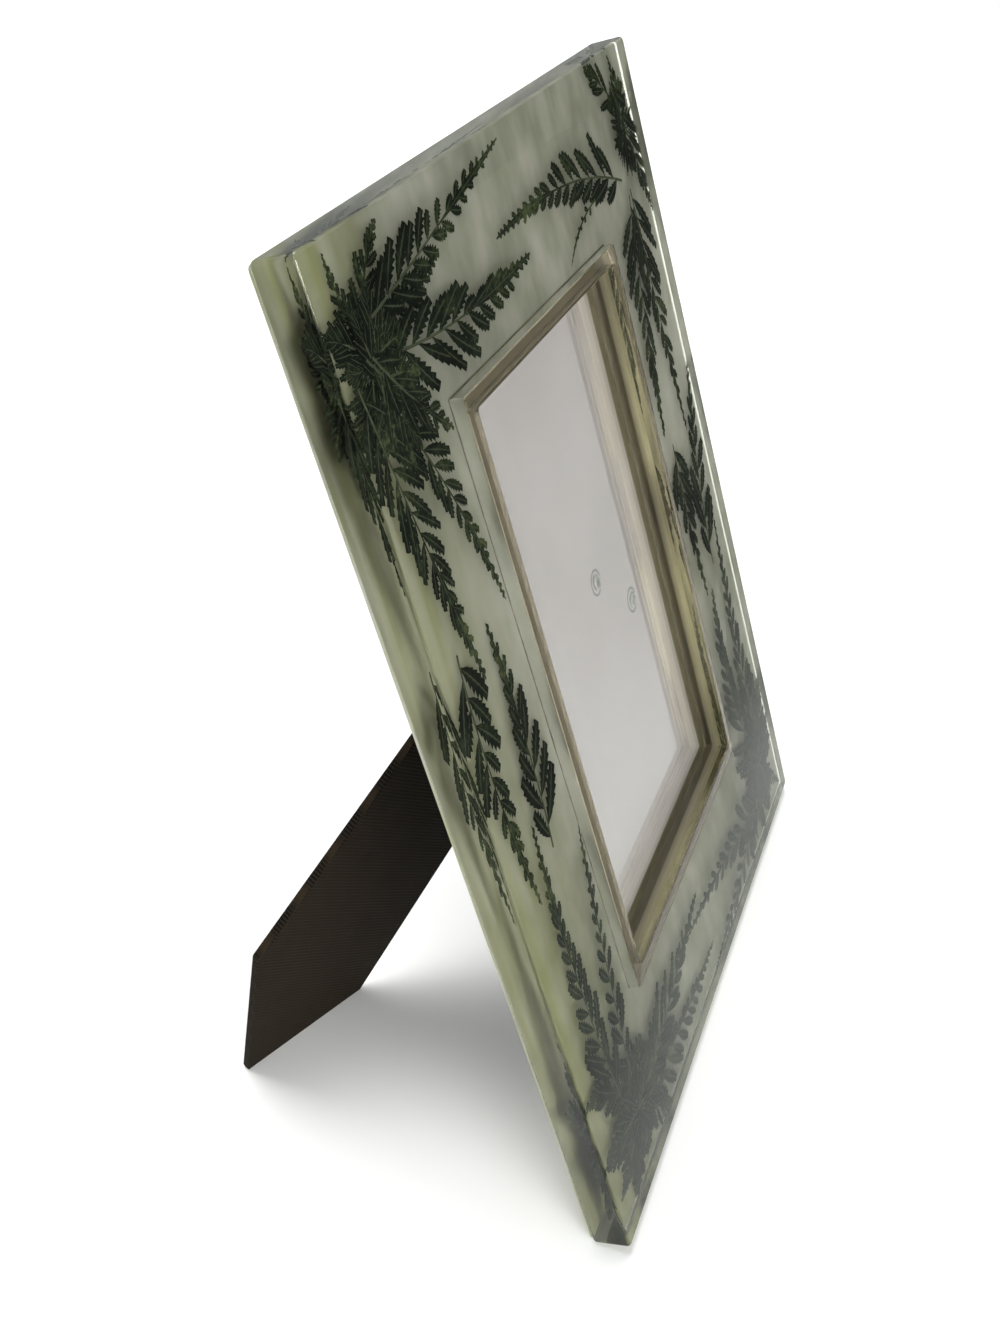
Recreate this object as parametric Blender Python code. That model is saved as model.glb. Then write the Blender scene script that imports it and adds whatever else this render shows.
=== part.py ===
"""Photo frame of clear cast resin with pressed ferns sealed in it.

The slab leans back on a strut that is hinged across the slab's diagonal, so the frame can also
stand on its left side. Everything is drawn in the slab's own axes: X to the right, Y from the
front face back into the thickness, Z up the slab. One parent then leans it back.
"""
import math

import bmesh
import bpy
from mathutils import Matrix, Vector

# Driving dimensions, in metres and radians.
SLAB_WIDTH = 0.1886
SLAB_HEIGHT = 0.240
SLAB_THICKNESS = 0.010
LEAN = math.radians(16.7)
SIDE_LEAN = math.radians(10.3)
# How far the middle of the frame's footprint lies behind the middle of the slab's front face.
FOOTPRINT_MIDDLE = 0.02228

POCKET_WIDTH = 0.1034
POCKET_HEIGHT = 0.1550
LINER_FACE = 0.0042
STRUT_THICKNESS = 0.0024

# The strut's hinge, as seen from the front: its middle, its slope down to the right, its opening.
HINGE_MIDDLE = (-0.0023, 0.0012)
HINGE_SLOPE = math.radians(39.0)
HINGE_OPENING = math.radians(37.3)

# Fitting clearance between neighbours, and the rounding of the slab's outer edges.
GAP = 0.0003
EDGE_ROUND = 0.0008
CORNER_RADIUS = 0.0015
CORNER_STEPS = 3

# Depths behind the front face, from front to back.
FERN_FRONT = 0.0030
PARTING = 0.0050
FERN_BACK = 0.0074
COAT_THICKNESS = 0.0005
COAT_FRONT = SLAB_THICKNESS - COAT_THICKNESS
RESIN_BACK = COAT_FRONT - GAP
LINER_BACK = 0.0069
LINER_RISE = 0.00035
GLASS_THICKNESS = 0.0020
GLASS_FRONT = LINER_BACK + GAP
LINING_THICKNESS = 0.0004
LINING_FRONT = SLAB_THICKNESS + GAP
BOARD_THICKNESS = 0.0025
BOARD_FRONT = LINING_FRONT + LINING_THICKNESS + GAP
PLATE_THICKNESS = 0.0008
PLATE_FRONT = BOARD_FRONT + BOARD_THICKNESS + GAP
RIM_WALL = 0.0016
FERN_CLEARANCE = RIM_WALL + GAP

# How far the lining card and the board reach past the pocket, and their eased edges.
LINING_MARGIN = 0.0055
BOARD_MARGIN = 0.0115
BOARD_EDGE = 0.0004

# The hinge, rivets and strut.
KNUCKLE_LIFT = 0.0005
KNUCKLE_RADIUS = 0.0020
BORE_RADIUS = 0.0011
PIN_RADIUS = BORE_RADIUS - GAP
AXIS_DEPTH = BOARD_FRONT + BOARD_THICKNESS + KNUCKLE_LIFT + KNUCKLE_RADIUS
HINGE_LENGTH = 0.040
MIDDLE_KNUCKLE = 0.016
TONGUE_LENGTH = 0.016
PIN_PROUD = 0.0005
RIVETS_ABOVE_AXIS = 0.0086
RIVET_PLACES = (0.00445, 0.02975)
SHANK_RADIUS = 0.0015
RIVET_HEAD_RADIUS = 0.0026
RIVET_HEAD = 0.0005
RIVET_ROLL = 0.0004
RIVET_BORE = 0.0009
STRUT_TOP_HALF = 0.0236
STRUT_TAPER = 0.0655
STRUT_TOP_GAP = 0.0030
STRUT_FACE = 0.0013

# One frond, in millimetres seen from the front: where its stem starts, passes and ends, how far
# its leaflets reach to the left and the right of the way it grows, how many pairs of them, and its
# layer in the resin, 0 at the front.
STEM_HALF = 0.0005
FROND_THICKNESS = 0.00025
LAYER_PITCH = 0.00055
FIRST_LEAFLET = 0.08
LAST_LEAFLET = 0.95
LEAFLET_BASE = 0.6
LEAFLET_STAGGER = 0.3
LEAFLET_LEAN = 0.7
TRIM_STEP = 0.85
FRONDS = {
    "top_left": (
        ((-73.9, 102.2), (-42.8, 107.6), (-0.2, 116.1), (10, 8), 10, 1),
        ((-73.8, 98.9), (-55.2, 101.1), (-40.7, 103.8), (5, 7), 6, 4),
        ((-71.5, 94.3), (-38.4, 90.1), (1.7, 90.5), (10, 16), 9, 2),
        ((-86, 93.4), (-81.5, 64.2), (-74.6, 26.5), (12.5, 11), 11, 1),
        ((-78.9, 89.4), (-65.5, 64.9), (-56, 34.6), (9.5, 7), 10, 3),
        ((-79.9, 98.9), (-70.7, 108.7), (-60.9, 116.4), (7, 7), 5, 5),
        ((-78.3, 96.2), (-67.9, 83.7), (-56.7, 73.6), (8, 8), 5, 0),
        ((-79.5, 103.8), (-81.1, 109.9), (-81.7, 116.5), (3, 3), 4, 6),
    ),
    "bottom_left": (
        ((-74.1, -92.5), (-76.7, -55), (-75.1, -10), (10.5, 9), 12, 2),
        ((-66.1, -92.8), (-61, -58.5), (-54.6, -25.2), (7, 6), 10, 3),
        ((-59.7, -101.1), (-34.5, -96.9), (-0.7, -89.3), (13, 10), 10, 1),
        ((-61.3, -104.9), (-30.3, -109), (3.3, -110.2), (5, 12.5), 10, 4),
        ((-66.4, -100.3), (-78.1, -85.7), (-90.2, -78.8), (9, 9), 5, 5),
        ((-64.5, -101.9), (-79.6, -98.6), (-91.6, -96.4), (9, 9), 5, 0),
        ((-66.1, -101.9), (-73.5, -112.5), (-80.5, -117.6), (8, 8), 4, 6),
        ((-65.3, -98.9), (-57.6, -111.5), (-49.9, -117.6), (8, 8), 5, 3),
    ),
    "bottom_right": (
        ((67.6, -108.1), (31.8, -100.1), (-14.1, -94.1), (8, 9), 11, 1),
        ((63.5, -105.8), (29.2, -113.7), (-0.6, -117.6), (7, 6), 10, 2),
        ((76.1, -99), (65.4, -69.7), (68.8, -31.3), (16, 12), 10, 3),
        ((78.7, -95.1), (78.1, -59.6), (83.5, -15.5), (9, 12), 11, 1),
        ((75.4, -97.8), (86.5, -86.4), (91.8, -77.4), (9, 9), 5, 5),
        ((70.6, -98.2), (82.4, -96.3), (90.9, -90), (8, 8), 5, 0),
        ((75, -100.9), (83.1, -109.6), (91.2, -117.3), (5, 5), 5, 4),
        ((72.6, -99.9), (70.9, -111.2), (67.8, -117.6), (9, 9), 4, 6),
        ((62.4, -104.6), (56.1, -112.5), (50.1, -117.6), (6, 6), 4, 5),
    ),
    "top_right": (
        ((71.2, 88.2), (32.2, 97.5), (-13.7, 98.3), (8, 11), 12, 1),
        ((66.2, 88.1), (43.2, 88.2), (24.6, 80.3), (2.6, 3), 7, 4),
        ((75.1, 83.4), (66.5, 55.9), (59.4, 21), (11, 12), 9, 3),
        ((76.4, 84.7), (76.8, 55.3), (78, 15.4), (12, 8.5), 9, 2),
        ((79.2, 106.9), (71.4, 113.2), (63.9, 117.6), (7, 8), 4, 5),
        ((86.2, 104.1), (84.7, 110.8), (83.1, 117.5), (4, 4), 4, 6),
        ((78, 111.7), (85.6, 90.8), (90.1, 75.1), (8, 8), 6, 0),
    ),
}
SINGLE_FRONDS = {
    "fern_left_hanging": ((-81.6, 36.4), (-83.6, 7), (-80.6, -26.9), (10.5, 9), 9, 4),
    "fern_left_rising": ((-68, -21.2), (-65.5, 5.3), (-66.6, 35), (8.5, 13.5), 8, 5),
    "fern_right_hanging": ((64.9, 16.4), (63.8, -5.1), (64.9, -32), (11, 8.7), 7, 5),
    "fern_right_rising": ((75.2, -26.7), (80.7, 2.5), (91.8, 30.8), (8.8, 12.5), 8, 4),
}


def clear_scene():
    """Removes whatever the scene holds."""
    for old in list(bpy.data.objects):
        bpy.data.objects.remove(old)


def material(name, colour, roughness, metallic=0.0, transmission=0.0):
    """A plain Principled material, colour as linear red, green and blue."""
    finish = bpy.data.materials.new(name)
    finish.use_nodes = True
    shader = finish.node_tree.nodes["Principled BSDF"]
    shader.inputs["Base Color"].default_value = (*colour, 1.0)
    shader.inputs["Roughness"].default_value = roughness
    shader.inputs["Metallic"].default_value = metallic
    shader.inputs["Transmission Weight"].default_value = transmission
    return finish


def add_empty(name, matrix, parent=None):
    """A parent with no mesh, placed by a matrix in its own parent's axes."""
    empty = bpy.data.objects.new(name, None)
    bpy.context.collection.objects.link(empty)
    empty.parent = parent
    empty.matrix_local = matrix
    return empty


def add_object(name, mesh, finish, parent, smooth_angle=None):
    """Names a finished mesh, gives it its material and hangs it on its parent."""
    thing = bpy.data.objects.new(name, mesh)
    bpy.context.collection.objects.link(thing)
    thing.parent = parent
    mesh.materials.append(finish)
    if smooth_angle is not None:
        mesh.shade_smooth()
        mesh.set_sharp_from_angle(angle=math.radians(smooth_angle))
    return thing


def mesh_from(shape, name):
    """Turns a bmesh into a mesh with all its faces outward."""
    bmesh.ops.recalc_face_normals(shape, faces=shape.faces)
    mesh = bpy.data.meshes.new(name)
    shape.to_mesh(mesh)
    shape.free()
    return mesh


def cut(body, cutter):
    """Takes the cutter's volume out of the body, as a modifier that stays live."""
    cutter.hide_render = True
    cutter.display_type = "WIRE"
    knife = body.modifiers.new("cut_" + cutter.name, "BOOLEAN")
    knife.operation = "DIFFERENCE"
    knife.solver = "EXACT"
    knife.object = cutter


def rounded_rectangle(half_width, half_height, radius, depth):
    """The corner points of an upright rectangle with rounded corners, at one depth."""
    points = []
    for corner, (side, rise) in enumerate(((1, 1), (-1, 1), (-1, -1), (1, -1))):
        centre = Vector((side * (half_width - radius), depth, rise * (half_height - radius)))
        for step in range(CORNER_STEPS + 1):
            angle = (corner + step / CORNER_STEPS) * math.pi / 2
            points.append(centre + radius * Vector((math.cos(angle), 0, math.sin(angle))))
    return points


def ring_mesh(name, stations):
    """Sweeps a closed section round a rectangle: a station is half sizes, radius and depth."""
    shape = bmesh.new()
    loops = [[shape.verts.new(point) for point in rounded_rectangle(*station)]
             for station in stations]
    for here, there in zip(loops, loops[1:] + loops[:1]):
        for index in range(len(here)):
            after = (index + 1) % len(here)
            shape.faces.new((here[index], here[after], there[after], there[index]))
    return mesh_from(shape, name)


def plate_mesh(name, half_width, half_height, radius, front, back, edge=0.0):
    """A flat rectangular plate, with its two rims eased by edge."""
    levels = [(edge, front), (0.0, front + edge), (0.0, back - edge), (edge, back)]
    if not edge:
        levels = [(0.0, front), (0.0, back)]
    shape = bmesh.new()
    loops = [[shape.verts.new(point) for point in
              rounded_rectangle(half_width - inset, half_height - inset, radius, depth)]
             for inset, depth in levels]
    for here, there in zip(loops, loops[1:]):
        for index in range(len(here)):
            after = (index + 1) % len(here)
            shape.faces.new((here[index], here[after], there[after], there[index]))
    shape.faces.new(loops[0])
    shape.faces.new(loops[-1])
    return mesh_from(shape, name)


def turned_mesh(name, profile, segments):
    """Turns a profile of radius and depth pairs about the Y axis; it starts and ends on it."""
    shape = bmesh.new()
    chain = [shape.verts.new((radius, depth, 0)) for radius, depth in profile]
    edges = [shape.edges.new(pair) for pair in zip(chain, chain[1:])]
    bmesh.ops.spin(shape, geom=chain + edges, axis=(0, 1, 0), cent=(0, 0, 0),
                   steps=segments, angle=math.tau, use_merge=True)
    bmesh.ops.remove_doubles(shape, verts=shape.verts, dist=1e-6)
    return mesh_from(shape, name)


def rod_mesh(name, radius, length, segments, middle=0.0):
    """A round rod along X with its middle at the given place."""
    shape = bmesh.new()
    turn = Matrix.Translation((middle, 0, 0)) @ Matrix.Rotation(math.pi / 2, 4, "Y")
    bmesh.ops.create_cone(shape, cap_ends=True, segments=segments, radius1=radius,
                          radius2=radius, depth=length, matrix=turn)
    return mesh_from(shape, name)


def slab_ring(half_inset, depth, inner=False):
    """One station of the slab's section: inset from the outer edge or out from the pocket."""
    if inner:
        return (POCKET_WIDTH / 2 + half_inset, POCKET_HEIGHT / 2 + half_inset,
                CORNER_RADIUS / 2, depth)
    return (SLAB_WIDTH / 2 - half_inset, SLAB_HEIGHT / 2 - half_inset,
            CORNER_RADIUS - 0.5 * min(half_inset, CORNER_RADIUS), depth)


def rounded_edge(depth, direction):
    """Stations of the slab's rounded outer edge, from its face to its side."""
    stations = []
    for step in range(3):
        angle = step / 2 * math.pi / 2
        inset = EDGE_ROUND * (1 - math.sin(angle))
        stations.append(slab_ring(inset, depth + direction * EDGE_ROUND * (1 - math.cos(angle))))
    return stations


def build_resin(parent):
    """The clear slab, in two halves that part through the fern layer."""
    clear = material("clear_resin", (0.74, 0.79, 0.66), 0.04, transmission=1.0)
    front = rounded_edge(0.0, 1) + [
        slab_ring(0.0, PARTING),
        slab_ring(RIM_WALL, PARTING),
        slab_ring(RIM_WALL, FERN_FRONT),
        slab_ring(RIM_WALL, FERN_FRONT, inner=True),
        slab_ring(RIM_WALL, PARTING, inner=True),
        slab_ring(0.0, PARTING, inner=True),
        slab_ring(0.0, 0.0, inner=True),
    ]
    back = rounded_edge(RESIN_BACK, -1) + [
        slab_ring(0.0, PARTING + GAP),
        slab_ring(RIM_WALL, PARTING + GAP),
        slab_ring(RIM_WALL, FERN_BACK),
        slab_ring(RIM_WALL, FERN_BACK, inner=True),
        slab_ring(RIM_WALL, PARTING + GAP, inner=True),
        slab_ring(0.0, PARTING + GAP, inner=True),
        slab_ring(0.0, RESIN_BACK, inner=True),
    ]
    add_object("resin_front", ring_mesh("resin_front", front), clear, parent, 40)
    add_object("resin_back", ring_mesh("resin_back", back), clear, parent, 40)


def build_back_coat(parent):
    """The pale opaque coat on the back of the resin, kept just inside its edges."""
    pale = material("pale_coat", (0.62, 0.62, 0.54), 0.6)
    stations = [
        slab_ring(EDGE_ROUND, COAT_FRONT),
        slab_ring(EDGE_ROUND, SLAB_THICKNESS),
        slab_ring(GAP, SLAB_THICKNESS, inner=True),
        slab_ring(GAP, COAT_FRONT, inner=True),
    ]
    add_object("back_coat", ring_mesh("back_coat", stations), pale, parent)


def build_window(parent):
    """The clear liner round the window, and the glass pane that it holds in the slab."""
    half_width = POCKET_WIDTH / 2 - GAP
    half_height = POCKET_HEIGHT / 2 - GAP
    inner_width = POCKET_WIDTH / 2 - LINER_FACE
    inner_height = POCKET_HEIGHT / 2 - LINER_FACE
    radius = CORNER_RADIUS / 2
    ease = LINER_RISE
    stations = [
        (half_width, half_height, radius, 0.0),
        (inner_width + ease, inner_height + ease, radius + ease, -LINER_RISE),
        (inner_width, inner_height, radius, 0.0),
        (inner_width, inner_height, radius, LINER_BACK),
        (half_width, half_height, radius, LINER_BACK),
    ]
    liner = material("clear_liner", (0.78, 0.83, 0.74), 0.04, transmission=1.0)
    glass = material("glass", (0.85, 0.9, 0.86), 0.02, transmission=1.0)
    add_object("window_liner", ring_mesh("window_liner", stations), liner, parent)
    pane = plate_mesh("glass_pane", half_width, half_height, radius,
                      GLASS_FRONT, GLASS_FRONT + GLASS_THICKNESS)
    add_object("glass_pane", pane, glass, parent)


def hinge_matrix(opening):
    """The hinge's axes in the slab's: X along the pin, minus Z down the strut."""
    place = Matrix.Translation((HINGE_MIDDLE[0], AXIS_DEPTH, HINGE_MIDDLE[1]))
    slope = Matrix.Rotation(HINGE_SLOPE, 4, "Y")
    return place @ slope @ Matrix.Rotation(opening, 4, "X")


def rivet_matrices():
    """Each rivet's axes in the slab's: Y along the rivet, from the front face's depth."""
    for along in RIVET_PLACES:
        place = hinge_matrix(0.0) @ Vector((along, 0, RIVETS_ABOVE_AXIS))
        yield Matrix.Translation((place.x, 0, place.z))


def drill_rivet_holes(body, parent):
    """Cuts the two rivet holes through a flat piece behind the glass."""
    for number, matrix in enumerate(rivet_matrices(), start=1):
        ends = LINING_FRONT - RIM_WALL, AXIS_DEPTH + KNUCKLE_RADIUS
        hole = turned_mesh("hole", ((0, ends[0]), (SHANK_RADIUS + GAP, ends[0]),
                                    (SHANK_RADIUS + GAP, ends[1]), (0, ends[1])), 16)
        drill = bpy.data.objects.new(f"drill_{body.name}_{number}", hole)
        bpy.context.collection.objects.link(drill)
        drill.parent = parent
        drill.matrix_local = matrix
        cut(body, drill)


def build_back(parent):
    """The white lining card and the cloth-covered board behind the glass."""
    white = material("white_card", (0.62, 0.6, 0.62), 0.8)
    black_cloth = material("black_cloth", (0.012, 0.01, 0.008), 0.9)
    lining = plate_mesh("white_lining", POCKET_WIDTH / 2 + LINING_MARGIN,
                        POCKET_HEIGHT / 2 + LINING_MARGIN, CORNER_RADIUS,
                        LINING_FRONT, LINING_FRONT + LINING_THICKNESS)
    board = plate_mesh("backing_board", POCKET_WIDTH / 2 + BOARD_MARGIN,
                       POCKET_HEIGHT / 2 + BOARD_MARGIN, 2 * CORNER_RADIUS,
                       BOARD_FRONT, BOARD_FRONT + BOARD_THICKNESS, edge=BOARD_EDGE)
    for name, mesh, finish in (("white_lining", lining, white),
                               ("backing_board", board, black_cloth)):
        drill_rivet_holes(add_object(name, mesh, finish, parent), parent)
    return black_cloth


def build_rivets(parent):
    """Two hollow rivets: a rolled ring in front of the lining, a flat head on the plate."""
    steel = material("rivet_steel", (0.55, 0.54, 0.52), 0.3, metallic=1.0)
    ring_back = LINING_FRONT - GAP
    ring_front = ring_back - RIVET_HEAD
    head_front = PLATE_FRONT + PLATE_THICKNESS + GAP
    head_back = head_front + RIVET_HEAD
    profile = ((0, ring_front + 4 * RIVET_HEAD), (RIVET_BORE, ring_front + 4 * RIVET_HEAD),
               (RIVET_BORE, ring_front + 0.4 * RIVET_HEAD), (RIVET_BORE + RIVET_ROLL, ring_front),
               (RIVET_HEAD_RADIUS - RIVET_ROLL, ring_front), (RIVET_HEAD_RADIUS, ring_back),
               (SHANK_RADIUS, ring_back), (SHANK_RADIUS, head_front),
               (RIVET_HEAD_RADIUS, head_front), (RIVET_HEAD_RADIUS - RIVET_ROLL, head_back),
               (0, head_back))
    for side, matrix in zip(("left", "right"), rivet_matrices()):
        rivet = add_object(f"rivet_{side}", turned_mesh("rivet", profile, 14), steel, parent, 35)
        rivet.matrix_local = matrix


def build_hinge(parent, hinge, strut_axes):
    """The fixed leaf, the pin, and the moving leaf that turns with the strut."""
    black_metal = material("black_metal", (0.02, 0.02, 0.022), 0.4, metallic=0.6)
    pin_steel = material("pin_steel", (0.5, 0.5, 0.5), 0.35, metallic=1.0)
    end_length = (HINGE_LENGTH - MIDDLE_KNUCKLE) / 2 - GAP
    end_middle = (MIDDLE_KNUCKLE + end_length) / 2 + GAP
    plate_left = -HINGE_LENGTH / 2
    plate_right = RIVET_PLACES[1] + 2 * RIVET_HEAD_RADIUS
    plate_top = RIVETS_ABOVE_AXIS + 2 * RIVET_HEAD_RADIUS
    plate_depth = PLATE_FRONT - AXIS_DEPTH

    fixed = box_mesh("fixed_leaf", (plate_left, plate_depth, KNUCKLE_RADIUS + 2 * GAP),
                     (plate_right, plate_depth + PLATE_THICKNESS, plate_top))
    leaf = add_object("hinge_plate", fixed, black_metal, hinge, 35)
    for side in (-1, 1):
        knuckle = rod_mesh("knuckle", KNUCKLE_RADIUS, end_length, 16, side * end_middle)
        tab = box_mesh("tab", (side * end_middle - end_length / 2, plate_depth, 0),
                       (side * end_middle + end_length / 2, plate_depth + PLATE_THICKNESS,
                        KNUCKLE_RADIUS + 4 * GAP))
        join(leaf, knuckle, hinge)
        join(leaf, tab, hinge)
    bore(leaf, hinge)
    drill_rivet_holes(leaf, parent)

    moving = rod_mesh("moving_leaf", KNUCKLE_RADIUS, MIDDLE_KNUCKLE, 16)
    clasp = add_object("strut_leaf", moving, black_metal, strut_axes, 35)
    leaf_back = STRUT_FACE - GAP
    tongue = box_mesh("tongue", (-MIDDLE_KNUCKLE / 2, leaf_back - PLATE_THICKNESS, -TONGUE_LENGTH),
                      (MIDDLE_KNUCKLE / 2, leaf_back, -BORE_RADIUS))
    join(clasp, tongue, strut_axes)
    bore(clasp, strut_axes)

    pin = rod_mesh("pin", PIN_RADIUS, HINGE_LENGTH + 2 * PIN_PROUD, 16)
    add_object("hinge_pin", pin, pin_steel, hinge, 35)


def box_mesh(name, low, high):
    """A box between two opposite corners."""
    shape = bmesh.new()
    size = Vector(high) - Vector(low)
    centre = (Vector(high) + Vector(low)) / 2
    place = Matrix.Translation(centre) @ Matrix.Diagonal((*size, 1.0))
    bmesh.ops.create_cube(shape, size=1.0, matrix=place)
    return mesh_from(shape, name)


def join(body, mesh, parent):
    """Fuses a second shape to the body, so that the two are one solid."""
    number = len(body.modifiers) + 1
    extra = bpy.data.objects.new(f"{body.name}_joined_{number}", mesh)
    bpy.context.collection.objects.link(extra)
    extra.parent = parent
    extra.hide_render = True
    extra.display_type = "WIRE"
    union = body.modifiers.new("join_" + extra.name, "BOOLEAN")
    union.operation = "UNION"
    union.solver = "EXACT"
    union.object = extra


def bore(body, parent):
    """Runs the pin's bore through the body, along the hinge axis."""
    reach = 2 * HINGE_LENGTH
    drill = bpy.data.objects.new(f"bore_{body.name}", rod_mesh("bore", BORE_RADIUS, reach, 16))
    bpy.context.collection.objects.link(drill)
    drill.parent = parent
    cut(body, drill)


def line_in_strut(heights):
    """Where a resting plane meets the strut's front face: the slope and start of that line.

    The four values turn a point in the strut's axes into its height above the plane.
    """
    across, through, up, offset = heights
    return -across / up, -(through * STRUT_FACE + offset) / up


def build_strut(strut_axes, black_cloth):
    """The cloth-covered strut; its foot is cut to both ways of standing."""
    to_slab = hinge_matrix(HINGE_OPENING)
    ground_row = (standing_matrix() @ to_slab)[2]
    side_up = Vector((math.cos(SIDE_LEAN), -math.sin(SIDE_LEAN), 0))
    edge = Vector((-SLAB_WIDTH / 2, RESIN_BACK, 0))
    columns = [to_slab.col[index].to_3d() for index in range(4)]
    side_row = [side_up.dot(column) for column in columns]
    side_row[3] -= side_up.dot(edge)
    level_slope, level_start = line_in_strut(ground_row)
    side_slope, side_start = line_in_strut(side_row)

    def edge_corner(side, slope, start):
        """The corner where a foot cut meets the tapered edge on one side."""
        half = (STRUT_TOP_HALF - STRUT_TAPER * start) / (1 + side * STRUT_TAPER * slope)
        return side * half, slope * side * half + start

    tip_across = (side_start - level_start) / (level_slope - side_slope)
    outline = [
        (-STRUT_TOP_HALF, -STRUT_TOP_GAP),
        edge_corner(-1, side_slope, side_start),
        (tip_across, level_slope * tip_across + level_start),
        edge_corner(1, level_slope, level_start),
        (STRUT_TOP_HALF, -STRUT_TOP_GAP),
    ]
    shape = bmesh.new()
    face = shape.faces.new([shape.verts.new((x, STRUT_FACE, z)) for x, z in outline])
    grown = bmesh.ops.extrude_face_region(shape, geom=[face])
    moved = [item for item in grown["geom"] if isinstance(item, bmesh.types.BMVert)]
    bmesh.ops.translate(shape, verts=moved, vec=(0, STRUT_THICKNESS, 0))
    strut = add_object("strut", mesh_from(shape, "strut"), black_cloth, strut_axes)
    easing = strut.modifiers.new("cloth_wrapped_edges", "BEVEL")
    easing.width = BOARD_EDGE
    easing.segments = 2
    return strut


def stem_point(root, via, tip, t):
    """A point on the stem: the curve through root, via at half way, and tip."""
    bend = 2 * via - (root + tip) / 2
    return (1 - t) ** 2 * root + 2 * t * (1 - t) * bend + t ** 2 * tip


def stem_direction(root, via, tip, t):
    """The stem's unit direction at t."""
    bend = 2 * via - (root + tip) / 2
    return ((1 - t) * (bend - root) + t * (tip - bend)).normalized()


def leaflet_reach(t):
    """How long the leaflets are along the stem: short, soon full, then a long taper."""
    return min(1.0, 0.5 + 3.0 * t) * (1 - t) ** 1.3 + 0.04


def clear_of_walls(point):
    """Whether a point keeps off the slab's outer rim and off the wall round the pocket."""
    inside = (abs(point.x) < SLAB_WIDTH / 2 - FERN_CLEARANCE
              and abs(point.y) < SLAB_HEIGHT / 2 - FERN_CLEARANCE)
    outside = (abs(point.x) > POCKET_WIDTH / 2 + FERN_CLEARANCE
               or abs(point.y) > POCKET_HEIGHT / 2 + FERN_CLEARANCE)
    return inside and outside


def frond_outline(root, via, tip, reaches, pairs):
    """The frond's outline: up one side of the stem and down the other, leaflet by leaflet."""
    pitch = (LAST_LEAFLET - FIRST_LEAFLET) / pairs
    forward = LEAFLET_LEAN * sum(reaches) / 2
    sides = []
    for side, reach, shift in ((1, reaches[0], 0.0), (-1, reaches[1], LEAFLET_STAGGER)):
        points = []
        for index in range(pairs):
            start = FIRST_LEAFLET + pitch * (index + shift)
            along = stem_direction(root, via, tip, start)
            out = Vector((-along.y, along.x)) * side
            half_stem = out * STEM_HALF * (1.1 - start)
            base = stem_point(root, via, tip, start)
            top = stem_point(root, via, tip, start + LEAFLET_BASE * pitch)
            leaflet = leaflet_reach(start) * (reach * out + forward * along)
            while not clear_of_walls(top + leaflet):
                leaflet *= TRIM_STEP
            points += [base + half_stem, top + leaflet, top + half_stem]
        sides.append(points)
    foot = stem_direction(root, via, tip, 0.0)
    across = Vector((-foot.y, foot.x)) * STEM_HALF
    return [root + across] + sides[0] + [tip] + sides[1][::-1] + [root - across]


def build_frond(name, place, finish, parent):
    """One pressed frond, a thin flat solid at its own depth in the resin."""
    root, via, tip = (Vector(point) / 1000 for point in place[:3])
    reaches = [reach / 1000 for reach in place[3]]
    pairs, layer = place[4:]
    front = FERN_FRONT + GAP + layer * LAYER_PITCH
    shape = bmesh.new()
    rim = frond_outline(root, via, tip, reaches, pairs)
    face = shape.faces.new([shape.verts.new((point.x, front, point.y)) for point in rim])
    grown = bmesh.ops.extrude_face_region(shape, geom=[face])
    moved = [item for item in grown["geom"] if isinstance(item, bmesh.types.BMVert)]
    bmesh.ops.translate(shape, verts=moved, vec=(0, FROND_THICKNESS, 0))
    bmesh.ops.triangulate(shape, faces=shape.faces)
    add_object(name, mesh_from(shape, name), finish, parent)


def build_ferns(parent):
    """All the pressed fronds: a spray in each corner and two single fronds on each side."""
    green = material("pressed_fern", (0.016, 0.026, 0.010), 0.7)
    for spray, fronds in FRONDS.items():
        for number, place in enumerate(fronds, start=1):
            build_frond(f"fern_{spray}_{number}", place, green, parent)
    for name, place in SINGLE_FRONDS.items():
        build_frond(name, place, green, parent)


def standing_matrix():
    """Leans the slab back and sets its rounded lower back edge on the ground."""
    lean = Matrix.Rotation(-LEAN, 4, "X")
    edge_centre = Vector((0, RESIN_BACK - EDGE_ROUND, EDGE_ROUND - SLAB_HEIGHT / 2))
    drop = (lean @ edge_centre).z - EDGE_ROUND
    return Matrix.Translation((0, -FOOTPRINT_MIDDLE, -drop)) @ lean


def main():
    """Builds the whole frame, standing."""
    clear_scene()
    slab = add_empty("slab_axes", standing_matrix())
    hinge = add_empty("hinge_axes", hinge_matrix(0.0), slab)
    strut_axes = add_empty("strut_axes", hinge_matrix(HINGE_OPENING), slab)
    build_resin(slab)
    build_ferns(slab)
    build_back_coat(slab)
    build_window(slab)
    black_cloth = build_back(slab)
    build_rivets(slab)
    build_hinge(slab, hinge, strut_axes)
    build_strut(strut_axes, black_cloth)


main()
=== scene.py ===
"""Looks of a photo frame of clear cast resin with pressed ferns, leaning on its strut.

Shapes are drawn in the slab's own axes: X to the right, Y from the front face back into the
thickness, Z up the slab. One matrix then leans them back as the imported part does.
"""
import math

import bmesh
import bpy
import numpy as np
from mathutils import Matrix, Vector


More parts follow.
